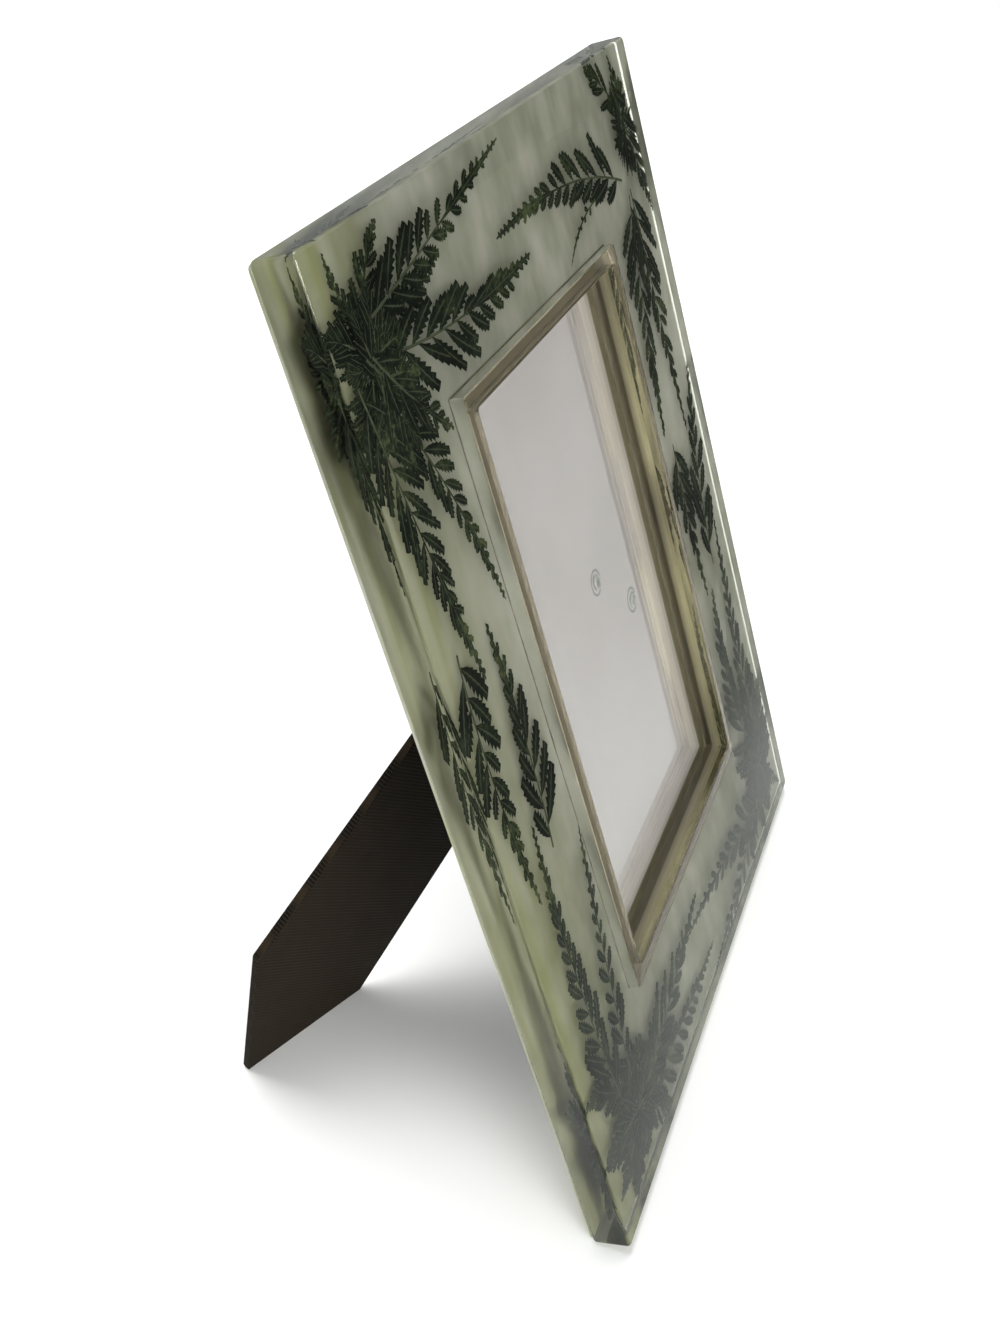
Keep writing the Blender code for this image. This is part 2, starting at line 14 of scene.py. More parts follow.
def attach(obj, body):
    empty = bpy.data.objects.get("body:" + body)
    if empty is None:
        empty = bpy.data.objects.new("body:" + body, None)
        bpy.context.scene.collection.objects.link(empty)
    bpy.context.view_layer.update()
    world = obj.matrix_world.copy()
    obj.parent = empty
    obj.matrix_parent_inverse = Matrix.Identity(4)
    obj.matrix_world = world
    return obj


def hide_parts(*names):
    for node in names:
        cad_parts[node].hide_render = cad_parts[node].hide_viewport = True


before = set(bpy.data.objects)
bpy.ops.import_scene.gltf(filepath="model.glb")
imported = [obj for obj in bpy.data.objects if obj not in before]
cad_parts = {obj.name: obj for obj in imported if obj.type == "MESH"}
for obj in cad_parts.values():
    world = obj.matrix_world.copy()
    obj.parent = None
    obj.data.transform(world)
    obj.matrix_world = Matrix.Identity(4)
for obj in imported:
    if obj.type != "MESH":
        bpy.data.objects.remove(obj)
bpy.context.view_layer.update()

# Slab of clear casting resin, poured round the leaves, then sanded and polished to a gloss.
# Its outer edges are eased by hand, the back ones more than the front ones. The opening for the
# photograph is cut with crisp edges.
MM = 0.001
LEAN = math.radians(16.7)
SLAB_AXES = Matrix.Translation((0, -0.02228, 0.117386)) @ Matrix.Rotation(-LEAN, 4, "X")
SLAB_HALF = (94.3 * MM, 120.0 * MM)
POCKET_HALF = (51.7 * MM, 77.5 * MM)
SLAB_CORNER, POCKET_CORNER = 1.5 * MM, 0.75 * MM
# The resin runs a little way into the coat on its back, so that the two are bonded.
RESIN_DEPTH = 9.56 * MM
SOFT_EDGE, BACK_EDGE, CRISP_EDGE = 0.8 * MM, 1.25 * MM, 0.2 * MM


def section_arc(out, depth, radius, start, end, steps):
    """A quarter round of a section: its points are centre plus radius times the unit normal.

    The normal turns evenly from start to end, in degrees; 0 points outwards and 90 to the back.
    """
    angle = np.radians(np.linspace(start, end, steps + 1))
    normal = np.stack([np.cos(angle), np.sin(angle)], axis=1)
    return np.array([out, depth]) + radius * normal, normal


def ring_points(half, corner, section, normals, corner_steps=6):
    """Carries a section round an upright rectangle with rounded corners.

    A section point (r, d) runs along the rectangle set r further out, at depth d, and its normal
    turns with the corner.
    """
    turn = np.linspace(0, math.pi / 2, corner_steps + 1)
    angle = (np.arange(4)[:, None] * math.pi / 2 + turn).ravel()
    side = np.repeat([1, -1, -1, 1], corner_steps + 1)
    rise = np.repeat([1, 1, -1, -1], corner_steps + 1)
    reach = corner + section[:, :1]
    x = side * (half[0] - corner) + reach * np.cos(angle)
    z = rise * (half[1] - corner) + reach * np.sin(angle)
    points = np.stack([x, np.broadcast_to(section[:, 1:], x.shape), z], axis=2)
    facing = np.stack([normals[:, :1] * np.cos(angle), np.broadcast_to(normals[:, 1:], x.shape),
                       normals[:, :1] * np.sin(angle)], axis=2)
    return points, facing


def surface(name, points, close_rows=False, close_columns=False, normals=None):
    """A mesh of quads over a grid of points (rows, columns, 3), turned to face outwards.

    The sign of the enclosed volume, summed over cones from the middle to each face, says which
    way the faces point.
    """
    rows, columns = points.shape[:2]
    index = np.arange(rows * columns).reshape(rows, columns)
    here = np.arange(rows if close_rows else rows - 1)
    along = np.arange(columns if close_columns else columns - 1)
    next_row, next_column = (here + 1) % rows, (along + 1) % columns
    quads = np.stack([index[here][:, along], index[here][:, next_column],
                      index[next_row][:, next_column], index[next_row][:, along]],
                     axis=-1).reshape(-1, 4)
    flat = points.reshape(-1, 3)
    corner = flat[quads] - flat.mean(axis=0)
    cones = np.einsum("ij,ij->", corner[:, 0], np.cross(corner[:, 1], corner[:, 2]))
    cones += np.einsum("ij,ij->", corner[:, 0], np.cross(corner[:, 2], corner[:, 3]))
    if cones < 0:
        quads = quads[:, ::-1]
    mesh = bpy.data.meshes.new(name)
    mesh.from_pydata(flat.tolist(), [], quads.tolist())
    mesh.shade_smooth()
    if normals is not None:
        mesh.normals_split_custom_set_from_vertices(normals.reshape(-1, 3).tolist())
    return mesh


def placed(name, data):
    """A new object of a mesh, light or camera, linked into the scene."""
    thing = bpy.data.objects.new(name, data)
    bpy.context.scene.collection.objects.link(thing)
    return thing


def piece(mesh, material, body, replaced=()):
    """Leans a finished mesh with the slab, puts it on its body and hides the imported parts it
    replaces.
    """
    mesh.transform(SLAB_AXES)
    mesh.materials.append(material)
    thing = placed(mesh.name, mesh)
    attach(thing, body)
    if replaced:
        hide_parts(*replaced)


def linear(hex_colour):
    """An sRGB hex colour as linear red, green, blue and alpha."""
    value = np.array([int(hex_colour[place:place + 2], 16) for place in (1, 3, 5)]) / 255
    channel = np.where(value <= 0.04045, value / 12.92, ((value + 0.055) / 1.055) ** 2.4)
    return (*channel.tolist(), 1.0)


def new_material(name, **settings):
    """A Principled material with its plain values set on the shader's own sockets."""
    material = bpy.data.materials.new(name)
    material.use_nodes = True
    shader = material.node_tree.nodes["Principled BSDF"]
    for socket, value in settings.items():
        shader.inputs[socket.replace("_", " ")].default_value = value
    return material


def node(material, kind, links=(), values=(), **settings):
    """Adds a node: links are (socket, output) pairs and values are (socket, value) pairs."""
    new = material.node_tree.nodes.new(kind)
    for key, value in settings.items():
        setattr(new, key, value)
    for socket, value in values:
        new.inputs[socket].default_value = value
    for socket, output in links:
        material.node_tree.links.new(output, new.inputs[socket])
    return new


def combine(material, operation, *terms):
    """The result of a Math node: a term is a plain number or another node's output."""
    plain = [isinstance(term, (int, float)) for term in terms]
    links = [(place, term) for place, term in enumerate(terms) if not plain[place]]
    values = [(place, term) for place, term in enumerate(terms) if plain[place]]
    return node(material, "ShaderNodeMath", links, values, operation=operation).outputs[0]


def mapped(material, value, start, end, low=0.0, high=1.0):
    """Carries a value evenly from start .. end to low .. high, and holds it at those ends."""
    return node(material, "ShaderNodeMapRange", [("Value", value)],
                [("From Min", start), ("From Max", end), ("To Min", low), ("To Max", high)]
                ).outputs["Result"]


def tinted(material, factor, colour, hex_colour):
    """A colour that turns to a plain one where the factor is 1."""
    return node(material, "ShaderNodeMix", [(0, factor), (6, colour)],
                [(7, linear(hex_colour))], data_type="RGBA").outputs[2]


def finish(material, socket, output, target="Principled BSDF"):
    """Leads an output into a socket of the shader, or of the material's output."""
    material.node_tree.links.new(output, material.node_tree.nodes[target].inputs[socket])


def ramp(material, factor, stops):
    """Colours by a factor: stops are (position, hex colour) pairs."""
    new = node(material, "ShaderNodeValToRGB", [("Fac", factor)])
    elements = new.color_ramp.elements
    while len(elements) < len(stops):
        elements.new(0.5)
    for element, (position, hex_colour) in zip(elements, stops):
        element.position = position
        element.color = linear(hex_colour)
    return new.outputs["Color"]


def object_place(material, axes=None, stretch=(1, 1, 1)):
    """Object coordinates, turned into the given axes where a pattern follows a slanted piece.

    A stretch below 1 draws the pattern out along that axis.
    """
    place = node(material, "ShaderNodeTexCoord").outputs["Object"]
    if axes is None:
        return place
    inward = axes.inverted()
    turn = node(material, "ShaderNodeMapping", [("Vector", place)],
                [("Location", inward.to_translation()), ("Rotation", inward.to_euler())])
    squeeze = node(material, "ShaderNodeMapping", [("Vector", turn.outputs["Vector"])],
                   [("Scale", stretch)])
    return squeeze.outputs["Vector"]


def noise(material, place, size, detail=2.0):
    """Soft noise with blotches of about the given size in metres."""
    return node(material, "ShaderNodeTexNoise", [("Vector", place)],
                [("Scale", 1 / size), ("Detail", detail)]).outputs["Fac"]


def bump(material, height, distance):
    """Turns a height between 0 and 1, times a distance in metres, into the shading normal."""
    relief = node(material, "ShaderNodeBump", [("Height", height)],
                  [("Strength", 1.0), ("Distance", distance)])
    finish(material, "Normal", relief.outputs["Normal"])


# Casting resin: polyester or epoxy, IOR about 1.54, polished. It reads as thick clear glass with
# a faint green-yellow cast along its edges, and very slight waves left by hand polishing.
resin = new_material("polished_casting_resin", Roughness=0.0, IOR=1.54,
                     Transmission_Weight=1.0, Base_Color=linear("#f6f9f2"))
tint = node(resin, "ShaderNodeVolumeAbsorption",
            values=[("Color", linear("#d6d358")), ("Density", 10.0)])
finish(resin, "Volume", tint.outputs["Volume"], "Material Output")
bump(resin, noise(resin, object_place(resin), 28 * MM, 1.0), 0.12 * MM)

outer_arcs = [section_arc(-SOFT_EDGE, SOFT_EDGE, SOFT_EDGE, -90, 0, 6),
              section_arc(-BACK_EDGE, RESIN_DEPTH - BACK_EDGE, BACK_EDGE, 0, 90, 6)]
pocket_arcs = [section_arc(CRISP_EDGE, RESIN_DEPTH - CRISP_EDGE, CRISP_EDGE, 90, 180, 3),
               section_arc(CRISP_EDGE, CRISP_EDGE, CRISP_EDGE, 180, 270, 3)]
rings = [ring_points(SLAB_HALF, SLAB_CORNER, *arc) for arc in outer_arcs]
rings += [ring_points(POCKET_HALF, POCKET_CORNER, *arc) for arc in pocket_arcs]
slab_mesh = surface("clear_resin_slab", np.concatenate([ring[0] for ring in rings]), True, True,
                    np.concatenate([ring[1] for ring in rings]))
piece(slab_mesh, resin, "frame", ("resin_front", "resin_back"))


# Pressed fern fronds, real leaves dried flat and sealed in the resin, one above the other.
# Each has a thin stem and pairs of toothed leaflets that lean towards the tip and shorten to it.
# A frond is given as in the source, in mm: stem start, middle and tip, how far its leaflets reach
# to the left and the right of the way it grows, pairs of leaflets there, and layer.
FRONDS = {
    "fern_top_left_1": ((-73.9, 102.2), (-42.8, 107.6), (-0.2, 116.1), (10, 8), 10, 1),
    "fern_top_left_2": ((-73.8, 98.9), (-55.2, 101.1), (-40.7, 103.8), (5, 7), 6, 4),
    "fern_top_left_3": ((-71.5, 94.3), (-38.4, 90.1), (1.7, 90.5), (10, 16), 9, 2),
    "fern_top_left_4": ((-86, 93.4), (-81.5, 64.2), (-74.6, 26.5), (12.5, 11), 11, 1),
    "fern_top_left_5": ((-78.9, 89.4), (-65.5, 64.9), (-56, 34.6), (9.5, 7), 10, 3),
    "fern_top_left_6": ((-79.9, 98.9), (-70.7, 108.7), (-60.9, 116.4), (7, 7), 5, 5),
    "fern_top_left_7": ((-78.3, 96.2), (-67.9, 83.7), (-56.7, 73.6), (8, 8), 5, 0),
    "fern_top_left_8": ((-79.5, 103.8), (-81.1, 109.9), (-81.7, 116.5), (3, 3), 4, 6),
    "fern_bottom_left_1": ((-74.1, -92.5), (-76.7, -55), (-75.1, -10), (10.5, 9), 12, 2),
    "fern_bottom_left_2": ((-66.1, -92.8), (-61, -58.5), (-54.6, -25.2), (7, 6), 10, 3),
    "fern_bottom_left_3": ((-59.7, -101.1), (-34.5, -96.9), (-0.7, -89.3), (13, 10), 10, 1),
    "fern_bottom_left_4": ((-61.3, -104.9), (-30.3, -109), (3.3, -110.2), (5, 12.5), 10, 4),
    "fern_bottom_left_5": ((-66.4, -100.3), (-78.1, -85.7), (-90.2, -78.8), (9, 9), 5, 5),
    "fern_bottom_left_6": ((-64.5, -101.9), (-79.6, -98.6), (-91.6, -96.4), (9, 9), 5, 0),
    "fern_bottom_left_7": ((-66.1, -101.9), (-73.5, -112.5), (-80.5, -117.6), (8, 8), 4, 6),
    "fern_bottom_left_8": ((-65.3, -98.9), (-57.6, -111.5), (-49.9, -117.6), (8, 8), 5, 3),
    "fern_bottom_right_1": ((67.6, -108.1), (31.8, -100.1), (-14.1, -94.1), (8, 9), 11, 1),
    "fern_bottom_right_2": ((63.5, -105.8), (29.2, -113.7), (-0.6, -117.6), (7, 6), 10, 2),
    "fern_bottom_right_3": ((76.1, -99), (65.4, -69.7), (68.8, -31.3), (16, 12), 10, 3),
    "fern_bottom_right_4": ((78.7, -95.1), (78.1, -59.6), (83.5, -15.5), (9, 12), 11, 1),
    "fern_bottom_right_5": ((75.4, -97.8), (86.5, -86.4), (91.8, -77.4), (9, 9), 5, 5),
    "fern_bottom_right_6": ((70.6, -98.2), (82.4, -96.3), (90.9, -90), (8, 8), 5, 0),
    "fern_bottom_right_7": ((75, -100.9), (83.1, -109.6), (91.2, -117.3), (5, 5), 5, 4),
    "fern_bottom_right_8": ((72.6, -99.9), (70.9, -111.2), (67.8, -117.6), (9, 9), 4, 6),
    "fern_bottom_right_9": ((62.4, -104.6), (56.1, -112.5), (50.1, -117.6), (6, 6), 4, 5),
    "fern_top_right_1": ((71.2, 88.2), (32.2, 97.5), (-13.7, 98.3), (8, 11), 12, 1),
    "fern_top_right_2": ((66.2, 88.1), (43.2, 88.2), (24.6, 80.3), (2.6, 3), 7, 4),
    "fern_top_right_3": ((75.1, 83.4), (66.5, 55.9), (59.4, 21), (11, 12), 9, 3),
    "fern_top_right_4": ((76.4, 84.7), (76.8, 55.3), (78, 15.4), (12, 8.5), 9, 2),
    "fern_top_right_5": ((79.2, 106.9), (71.4, 113.2), (63.9, 117.6), (7, 8), 4, 5),
    "fern_top_right_6": ((86.2, 104.1), (84.7, 110.8), (83.1, 117.5), (4, 4), 4, 6),
    "fern_top_right_7": ((78, 111.7), (85.6, 90.8), (90.1, 75.1), (8, 8), 6, 0),
    "fern_left_hanging": ((-81.6, 36.4), (-83.6, 7), (-80.6, -26.9), (10.5, 9), 9, 4),
    "fern_left_rising": ((-68, -21.2), (-65.5, 5.3), (-66.6, 35), (8.5, 13.5), 8, 5),
    "fern_right_hanging": ((64.9, 16.4), (63.8, -5.1), (64.9, -32), (11, 8.7), 7, 5),
    "fern_right_rising": ((75.2, -26.7), (80.7, 2.5), (91.8, 30.8), (8.8, 12.5), 8, 4),
}
FIRST_LAYER, LAYER_PITCH = 3.42 * MM, 0.55 * MM
LEAF_THICKNESS = 0.07 * MM
# Room that the leaves keep from the slab's outer sides and from the opening.
LEAF_ROOM = 1.2 * MM
# Leaflets longer than this have more teeth on a side than shorter ones.
LARGE_LEAFLET, LARGE_TEETH, SMALL_TEETH = 4.5 * MM, 7, 4
STEM_STATIONS = 25
# Where on the stem, from 0 to 1, the leaflets begin to merge with it.
MERGING_FROM = 0.6
# Steps in which a leaflet without room turns forward, and then steps in which it shortens.
TURNING_STEPS, SHORTENING_STEPS = 8, 12
# Breadth and crowding of the leaflets in a spray, on a single frond and in a tuft.
SPRAY_FORM, SINGLE_FORM, TUFT_FORM = (0.27, 1.5), (0.32, 1.3), (0.38, 1.8)


def stem_curve(root, via, tip, t):
    """Points and unit directions at t on the parabola through root, via at one half, and tip."""
    bend = 2 * via - (root + tip) / 2
    t = t[:, None]
    point = (1 - t) ** 2 * root + 2 * t * (1 - t) * bend + t ** 2 * tip
    slope = (1 - t) * (bend - root) + t * (tip - bend)
    return point, slope / np.linalg.norm(slope, axis=1, keepdims=True)


def blades(base, run, bow, width, side, teeth, depth, wave):
    """Toothed leaflets, all at once: arrays over (leaflet, station, four points round it).

    A leaflet's midrib is base + s run + s squared bow. Its half width is width times s to the
    power 0.9 times 1 - s to the power 0.6, over that curve's peak, plus a thin stalk. Every other
    station is drawn in, deeply on the side towards the frond's tip and less on the other, which
    makes teeth that hook forward. Round the midrib run left edge, front, right edge and back.
    """
    stations = 2 * teeth + 1
    s = np.linspace(0, 1, stations)
    rounded = s ** 0.9 * (1 - s) ** 0.6 / 0.364
    valley = np.arange(stations) % 2 == 0
    toothed = np.where(valley, 0.66, 1.25)
    smooth = np.where(valley, 0.78, 1.05)
    tipward_left = (side < 0)[:, None]
    half_left = width[:, None] * (rounded * np.where(tipward_left, toothed, smooth) + 0.07)
    half_right = width[:, None] * (rounded * np.where(tipward_left, smooth, toothed) + 0.07)
    along = (run / np.linalg.norm(run, axis=1, keepdims=True))[:, None]
    middle = base[:, None] + s[:, None] * run[:, None] + s[:, None] ** 2 * bow[:, None]
    across = np.stack([-along[..., 1], along[..., 0]], axis=-1)
    hooked = np.where(valley, 0.0, 0.45 / teeth)[:, None] * run[:, None]
    left = middle + hooked + across * half_left[..., None]
    right = middle + hooked - across * half_right[..., None]
    lift = depth + wave[:, None] * np.sin(math.pi * s) ** 2
    thick = LEAF_THICKNESS * (1.15 - s)
    points = np.empty((*lift.shape, 4, 3))
    for place, (flat, offset) in enumerate(((left, 0), (middle, -thick), (right, 0), (middle, thick))):
        points[:, :, place, 0] = flat[..., 0]
        points[:, :, place, 1] = lift + offset
        points[:, :, place, 2] = flat[..., 1]
    return points


def tubes(points):
    """Vertices and quads of many four-sided tubes, closed at both ends, from an array of points
    over (tube, station, four points round it).
    """
    count, stations = points.shape[:2]
    index = np.arange(count * stations * 4).reshape(count, stations, 4)
    ahead = np.roll(index, -1, axis=2)
    walls = np.stack([index[:, :-1], ahead[:, :-1], ahead[:, 1:], index[:, 1:]], axis=-1)
    ends = np.concatenate([index[:, 0, ::-1], index[:, -1]])
    return points.reshape(-1, 3), np.concatenate([walls.reshape(-1, 4), ends])


def kept_clear(tips):
    """Whether each tip, given as X and Z, lies in the resin with room to its sides."""
    x, z = np.abs(tips[:, 0]), np.abs(tips[:, 1])
    inside = (x < SLAB_HALF[0] - LEAF_ROOM) & (z < SLAB_HALF[1] - LEAF_ROOM)
    return inside & ((x > POCKET_HALF[0] + LEAF_ROOM) | (z > POCKET_HALF[1] + LEAF_ROOM))


def stem_tube(root, via, tip, reaches, depth):
    """A stem as one tube, with the age and vein of its points.

    Its half width is 0.32 mm times 1 - t to the power 0.8, plus 0.05 mm, and plus a web that
    grows where the leaflets merge with it and shrinks with their length.
    """
    t = np.linspace(0, 1, STEM_STATIONS)
    middle, heading = stem_curve(root, via, tip, t)
    beside = np.stack([-heading[:, 1], heading[:, 0]], axis=1)
    merging = np.clip((t - MERGING_FROM) / (1 - MERGING_FROM), 0, 0.6)
    web = np.mean(reaches) * ((1 - t) ** 1.25 + 0.03) * merging
    half = (0.32 * (1 - t) ** 0.8 + 0.05 + web) * MM
    tube = np.empty((1, STEM_STATIONS, 4, 3))
    for place, (offset, sink) in enumerate(((1, 0), (0, -1), (-1, 0), (0, 1))):
        flat = middle + offset * half[:, None] * beside
        tube[0, :, place, 0], tube[0, :, place, 2] = flat[:, 0], flat[:, 1]
        tube[0, :, place, 1] = depth + sink * (0.04 + 0.13 * (1 - t)) * MM
    rim = 0.97 * np.clip((MERGING_FROM - t) / 0.15, 0, 1)
    vein = np.stack([rim, np.ones(t.size), rim, np.ones(t.size)], axis=1).ravel()
    return tube, np.repeat(t, 4), vein


def frond_parts(root, via, tip, reaches, pairs, layer, random, breadth, crowding):
    """A frond's points, quads, age and veins: a tapering stem, and leaflets ever closer together
    towards the tip, where they merge with the stem into a narrow toothed strip.

    The n leaflets of a side leave the stem at t = first + span (1 - (1 - k / n) to the power 1.5).
    A leaflet's half width is breadth times the distance to the next one, more where they merge,
    and crowding times pairs of them grow on a side. One that would leave the resin turns forward,
    and is shortened if that isn't enough.
    """
    root, via, tip = (np.array(point) * MM for point in (root, via, tip))
    length = np.linalg.norm(via - root) + np.linalg.norm(tip - via)
    depth = FIRST_LAYER + layer * LAYER_PITCH
    count = round(crowding * pairs)
    step = np.arange(count) / count
    first, span = 0.05, 0.93
    t = np.concatenate([first + span * (1 - (1 - step - shift / count) ** 1.5)
                        for shift in (0.0, 0.4)])
    side = np.repeat([1.0, -1.0], count)
    pitch = length * span * 1.5 * np.tile(1 - step, 2) ** 0.5 / count
    base, along = stem_curve(root, via, tip, t)
    out = np.stack([-along[:, 1], along[:, 0]], axis=1) * side[:, None]
    fullness = np.minimum(1, 0.7 + 2.5 * t) * (1 - t) ** 1.25 + 0.06
    fullness *= MM * random.uniform(0.78, 1.1, t.size)
    spread = np.repeat(reaches, count)
    merging = np.clip((t - MERGING_FROM) / 0.3, 0, 1)
    lean = np.mean(reaches) * random.uniform(0.85, 1.15, t.size) * (1 + 0.8 * t)
    run = fullness[:, None] * (spread[:, None] * out + lean[:, None] * along)
    turn = random.normal(0, 0.09, t.size)[:, None]
    run = run * np.cos(turn) + run[:, ::-1] * np.array([-1, 1]) * np.sin(turn)
    for turning in (True,) * TURNING_STEPS + (False,) * SHORTENING_STEPS:
        stray = ~kept_clear(base + 1.15 * run)
        sideways = (run * out).sum(axis=1, keepdims=True) * out
        run[stray] = (run - 0.2 * sideways if turning else 0.85 * run)[stray]
    run_length = np.linalg.norm(run, axis=1)
    bow = run_length[:, None] * (0.10 * along - 0.05 * out)
    width = np.minimum((breadth + 0.1 * merging) * pitch * random.uniform(0.85, 1.15, t.size),
                       0.165 * run_length + 0.25 * MM)
    wave = random.uniform(-0.12, 0.12, t.size) * MM
    large = run_length > LARGE_LEAFLET
    tube_sets, ages, veins = [], [], []
    for chosen, teeth in ((large, LARGE_TEETH), (~large, SMALL_TEETH)):
        if chosen.any():
            grid = blades(base[chosen], run[chosen], bow[chosen], width[chosen], side[chosen],
                          teeth, depth, wave[chosen])
            tube_sets.append(grid)
            ages.append(np.repeat(t[chosen], grid[0].size // 3))
            veins.append(np.tile([0.0, 1.0, 0.0, 1.0], grid.size // 12))
    for part, found in zip((tube_sets, ages, veins), stem_tube(root, via, tip, reaches, depth)):
        part.append(found)
    points, quads = [], []
    for grid in tube_sets:
        tube_points, tube_quads = tubes(grid)
        quads.append(tube_quads + sum(len(block) for block in points))
        points.append(tube_points)
    return tuple(np.concatenate(block) for block in (points, quads, ages, veins))


def leaf_mesh(name, fronds):
    """One mesh of one or several fronds, with how far each point is along its stem as age, and
    how near it is to a midrib as vein.
    """
    quads, before = [], 0
    for points, faces, ages, veins in fronds:
        quads.append(faces + before)
        before += len(points)
    mesh = bpy.data.meshes.new(name + "_leaf")
    mesh.from_pydata(np.concatenate([frond[0] for frond in fronds]).tolist(), [],
                     np.concatenate(quads).tolist())
    for place, attribute in ((2, "age"), (3, "vein")):
        values = np.concatenate([frond[place] for frond in fronds]).astype(np.float32)
        mesh.attributes.new(attribute, "FLOAT", "POINT").data.foreach_set("value", values)
    return mesh


# Dried fern: nearly black green where leaves are thick or overlap, olive where a thin leaf lets
# light through, above all towards the young tip, with paler stems and midribs. Matt, because the
# resin has wetted it.
fern = new_material("pressed_fern_leaf", Roughness=0.65, IOR=1.4, Specular_IOR_Level=0.1)
fern_place = object_place(fern)
blotch = noise(fern, fern_place, 11 * MM, 3.0)
fine = noise(fern, fern_place, 1.3 * MM, 3.0)
age = node(fern, "ShaderNodeAttribute", attribute_name="age").outputs["Fac"]
vein = node(fern, "ShaderNodeAttribute", attribute_name="vein").outputs["Fac"]
older = combine(fern, "MULTIPLY_ADD", age, 0.25, combine(fern, "ADD", blotch, fine))
shade = mapped(fern, older, 0.72, 1.42)
leaf_colour = ramp(fern, shade, [(0.0, "#0a0e0b"), (0.35, "#121913"), (0.6, "#20291e"),
                                 (0.85, "#3a432e"), (1.0, "#596044")])
rib = mapped(fern, vein, 0.82, 0.97, 0.0, 0.5)
finish(fern, "Base Color", tinted(fern, rib, leaf_colour, "#757c66"))
for number, (name, frond) in enumerate(FRONDS.items()):
    form = SINGLE_FORM if name.startswith(("fern_left", "fern_right")) else SPRAY_FORM
    grown = frond_parts(*frond, np.random.default_rng(700 + number), *form)
    piece(leaf_mesh(name, [grown]), fern, "frame", (name,))

# The dense middle of each corner spray: short broad fronds crossed over one another where the
# stems meet, one tuft for each corner. Given as middle and half size in mm, and fronds.
TUFTS = {
    "top_left": ((-77, 94), (13, 17), 22),
    "bottom_left": ((-69, -101), (19, 14), 26),
    "bottom_right": ((73, -98), (15, 14), 24),
    "top_right": ((81, 99), (7, 11), 9),
}
# Each frond of a tuft is turned by this much from the one before, in radians, so none coincide.
TUFT_TURN = 2.399963
TUFT_LIMIT = np.array(SLAB_HALF) / MM - 2.5
for number, (corner, (middle, half, count)) in enumerate(TUFTS.items()):
    random = np.random.default_rng(40 + number)
    grown = []
    for turn in np.arange(count) * TUFT_TURN + number:
        root = np.array(middle) + random.uniform(-0.25, 0.25, 2) * half
        tip = root + np.array([math.cos(turn), math.sin(turn)]) * half * random.uniform(0.8, 1.15)
        tip = np.clip(tip, -TUFT_LIMIT, TUFT_LIMIT)
        via = (root + tip) / 2 + random.uniform(-1.2, 1.2, 2)
        grown.append(frond_parts(root, via, tip, random.uniform(5.0, 7.5, 2), 4.5,
                                 random.uniform(0.3, 6.2), random, *TUFT_FORM))
    piece(leaf_mesh("fern_tuft_" + corner, grown), fern, "frame")


# Pale coat brushed over the whole back of the resin: an opaque, slightly uneven paint or filled
# resin that gives the leaves a light ground. It is fullest at mid height. Towards the left side
# upright olive streaks are painted on it, painted reflection of the streaky light and fern shadows
# seen through that side.
coat = new_material("pale_back_coat", Roughness=0.55, IOR=1.5)
coat_place = object_place(coat, SLAB_AXES, (1, 1, 0.55))
coat_axes = node(coat, "ShaderNodeSeparateXYZ", [("Vector", object_place(coat, SLAB_AXES))])
cloud = combine(coat, "ADD", noise(coat, coat_place, 34 * MM, 3.0),
                noise(coat, coat_place, 7 * MM))
for edge, full, thinner in ((-115 * MM, 15 * MM, -0.6), (125 * MM, 35 * MM, -0.3)):
    thinning = mapped(coat, coat_axes.outputs["Z"], edge, full, thinner, 0.0)
    cloud = combine(coat, "ADD", cloud, thinning)
cloudy = ramp(coat, combine(coat, "MULTIPLY", cloud, 0.5),
              [(0.1, "#8b8c7c"), (0.3, "#acaca4"), (0.5, "#cccbca"), (0.7, "#d9d8da")])
# Upright olive streaks towards the left side: painted reflection of streaky light and fern shadows
# inside that side.
streak_reflection_noise = noise(coat, object_place(coat, SLAB_AXES, (1, 1, 0.12)), 5 * MM)
leftward = mapped(coat, coat_axes.outputs["X"], -50 * MM, -84 * MM)
olive = combine(coat, "MULTIPLY", streak_reflection_noise, leftward)
finish(coat, "Base Color", tinted(coat, olive, cloudy, "#97995a"))
bump(coat, noise(coat, coat_place, 2.5 * MM, 3.0), 0.08 * MM)


def dress(material, *names):
    """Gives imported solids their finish, where the solid itself is what shows."""
    for name in names:
        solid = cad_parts[name]
        solid.data.materials.clear()
        solid.data.materials.append(material)


dress(coat, "back_coat")


# Clear acrylic liner, a thin-walled moulded frame pushed into the opening to hold the glass. Its
# front edge stands a hair proud. A sawn, frosted strip runs round it at a third of its depth, and
# behind that its colour is painted brown-grey, as painted shade for the shadow deep in the
# opening. Handling has left faint smears.
LINER_HALF = (47.5 * MM, 73.3 * MM)
liner = new_material("clear_acrylic_liner", IOR=1.49, Transmission_Weight=1.0)
liner_axes = node(liner, "ShaderNodeSeparateXYZ", [("Vector", object_place(liner, SLAB_AXES))])
# How deep a point lies, as a share of the slab's 10 mm.
share = mapped(liner, liner_axes.outputs["Y"], 0.0, 10 * MM)
# Past half the depth the colour turns brown-grey: painted shade for the shadow deep in the opening.
finish(liner, "Base Color", ramp(liner, share, [(0.26, "#f0e6cc"), (0.28, "#fff3d8"),
                                                (0.44, "#fff3d8"), (0.48, "#84785e"),
                                                (0.62, "#645a46")]))
smear = noise(liner, object_place(liner), 6 * MM, 3.0)
frost = ramp(liner, share, [(0.26, "#000000"), (0.28, "#c0c0c0"), (0.44, "#c0c0c0"),
                            (0.52, "#909090")])
finish(liner, "Roughness", combine(liner, "MULTIPLY_ADD", smear, 0.12, frost))
dress(liner, "window_liner")


